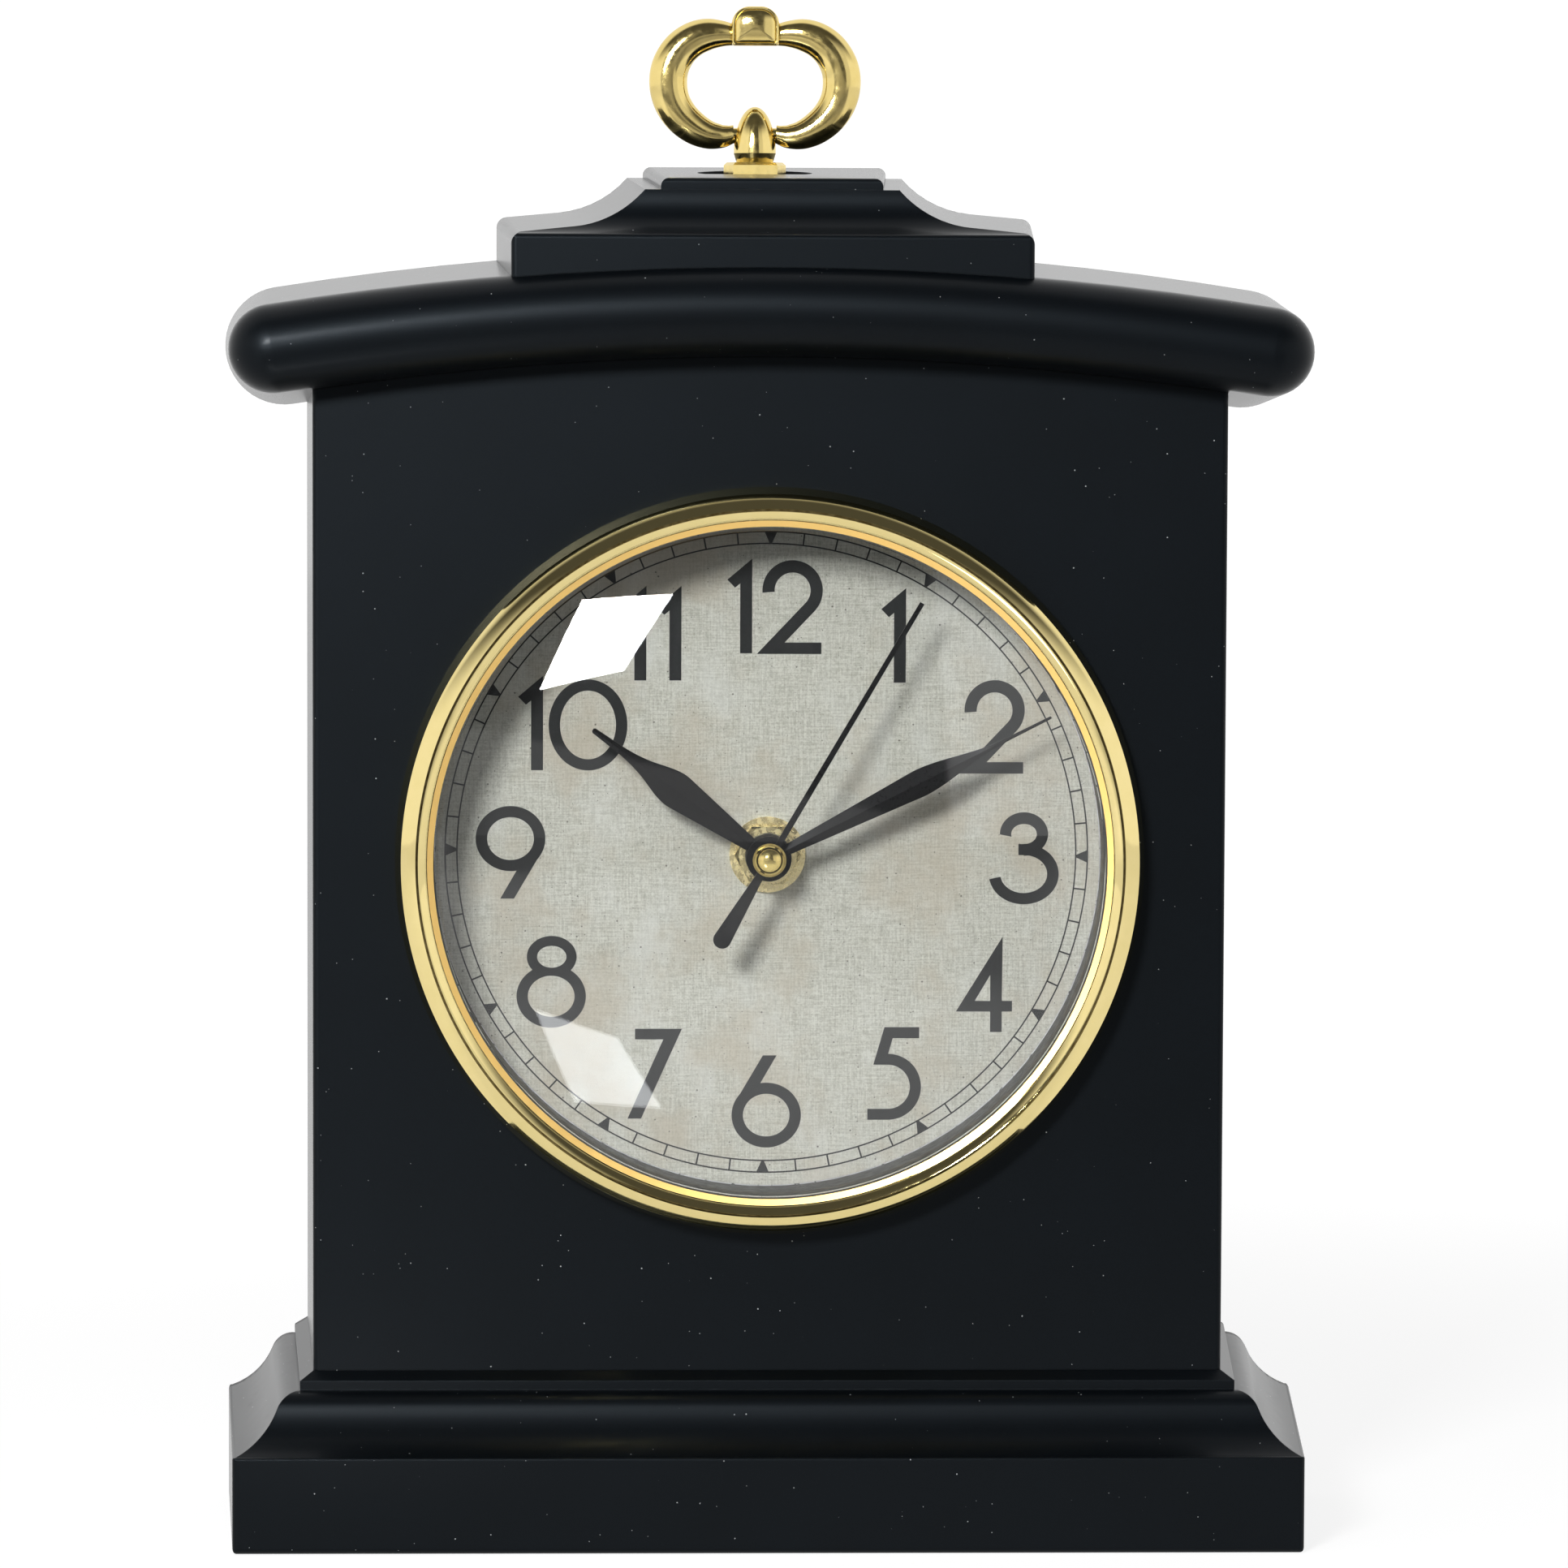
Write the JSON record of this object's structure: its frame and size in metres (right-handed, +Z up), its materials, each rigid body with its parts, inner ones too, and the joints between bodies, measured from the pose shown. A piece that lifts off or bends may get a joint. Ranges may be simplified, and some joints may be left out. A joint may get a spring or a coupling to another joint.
{
  "type": "mantel clock",
  "caption": "Bracket-style mantel clock: moulded case with stepped base and arched cornice, loop handle on top, domed lens over a round dial with hands, and a quartz movement.",
  "frame": {"origin": "centre of the base's flat underside", "axes": "+Z up, +X to the right seen from the front; the dial faces -Y"},
  "size_m": [0.1912, 0.066, 0.2655],
  "materials": {
    "case_black": "satin with a fine grain",
    "gold_plate": "bright gold plating",
    "gold_metal": "polished",
    "clear": "clear, domed",
    "black_plastic": "plain",
    "dial_paper": "aged linen texture",
    "plate_metal": "plain",
    "hand_black": "satin black",
    "rubber_black": "plain",
    "steel": "plain",
    "copper_wire": "enamelled wire",
    "wheel_white": "natural plastic",
    "board_green": "solder mask",
    "cell_wrap": "plain label"
  },
  "bodies": {
    "case": {"base": "case_black", "body": "case_black", "cornice": "case_black", "pediment": "case_black", "back_cover": "black_plastic", "back_cover_screws": "steel", "base_screws": "steel", "cornice_screws": "steel", "handle_post": "gold_metal", "handle_nut": "gold_metal", "bezel": "gold_plate", "lens": "clear", "lens_gasket": "rubber_black", "dial_cup": "black_plastic", "dial_cup_screws": "steel", "dial_plate": "plate_metal", "dial_plate_screws": "steel", "dial_face": "dial_paper", "rubber_washer": "rubber_black", "fixing_washer": "gold_metal", "fixing_nut": "gold_metal", "movement_front_case": "black_plastic", "movement_back_case": "black_plastic", "stator": "steel", "coil": "copper_wire", "circuit_board": "board_green", "quartz_crystal": "steel", "positive_contact": "steel", "negative_contact": "steel"},
    "handle": {"handle_loop": "gold_metal"},
    "seconds": {"second_hand": "hand_black", "second_hand_cap": "gold_metal", "second_wheel": "wheel_white"},
    "rotor": {"rotor": "steel"},
    "intermediate": {"intermediate_wheel": "wheel_white"},
    "third": {"third_wheel": "wheel_white"},
    "centre": {"centre_wheel": "wheel_white"},
    "minutes": {"minute_hand": "hand_black", "minute_arbor": "wheel_white"},
    "motion": {"motion_wheel": "wheel_white"},
    "hours": {"hour_hand": "hand_black", "hour_wheel": "wheel_white"},
    "setting": {"setting_knob": "black_plastic"},
    "cell": {"battery": "cell_wrap"}
  },
  "joints": [
    {"name": "second_spin", "type": "hinge", "parent": "case", "child": "seconds", "pos_m": [0, 0, 0.1183], "axis": [0, 1, 0], "continuous": true},
    {"name": "rotor_spin", "type": "hinge", "parent": "case", "child": "rotor", "pos_m": [0.01388, 0, 0.13077], "axis": [0, 1, 0], "continuous": true},
    {"name": "intermediate_spin", "type": "hinge", "parent": "case", "child": "intermediate", "pos_m": [0.00543, 0, 0.1277], "axis": [0, 1, 0], "continuous": true},
    {"name": "third_spin", "type": "hinge", "parent": "case", "child": "third", "pos_m": [-0.0092, 0, 0.12361], "axis": [0, 1, 0], "continuous": true},
    {"name": "centre_spin", "type": "hinge", "parent": "case", "child": "centre", "pos_m": [0, 0, 0.1183], "axis": [0, 1, 0], "continuous": true},
    {"name": "minute_spin", "type": "hinge", "parent": "case", "child": "minutes", "pos_m": [0, 0, 0.1183], "axis": [0, 1, 0], "continuous": true},
    {"name": "motion_spin", "type": "hinge", "parent": "case", "child": "motion", "pos_m": [0.00869, 0, 0.11597], "axis": [0, 1, 0], "continuous": true},
    {"name": "hour_spin", "type": "hinge", "parent": "case", "child": "hours", "pos_m": [0, 0, 0.1183], "axis": [0, 1, 0], "continuous": true},
    {"name": "setting_spin", "type": "hinge", "parent": "case", "child": "setting", "pos_m": [0.01756, 0, 0.11441], "axis": [0, 1, 0], "continuous": true},
    {"name": "handle_swing", "type": "hinge", "parent": "case", "child": "handle", "pos_m": [-0.0024, 0.004, 0.2435], "axis": [1, 0, 0], "range_deg": [-95, 95]},
    {"name": "battery_out", "type": "slide", "parent": "case", "child": "cell", "axis": [0, 1, 0], "range_m": [0, 0.04]}
  ],
  "couplings": [
    {"joint": "intermediate_spin", "follows": "second_spin", "ratio": -6},
    {"joint": "rotor_spin", "follows": "second_spin", "ratio": 30},
    {"joint": "third_spin", "follows": "second_spin", "ratio": -0.13333},
    {"joint": "centre_spin", "follows": "second_spin", "ratio": 0.016667},
    {"joint": "motion_spin", "follows": "minute_spin", "ratio": -0.33333},
    {"joint": "hour_spin", "follows": "minute_spin", "ratio": 0.083333},
    {"joint": "setting_spin", "follows": "minute_spin", "ratio": 1}
  ]
}
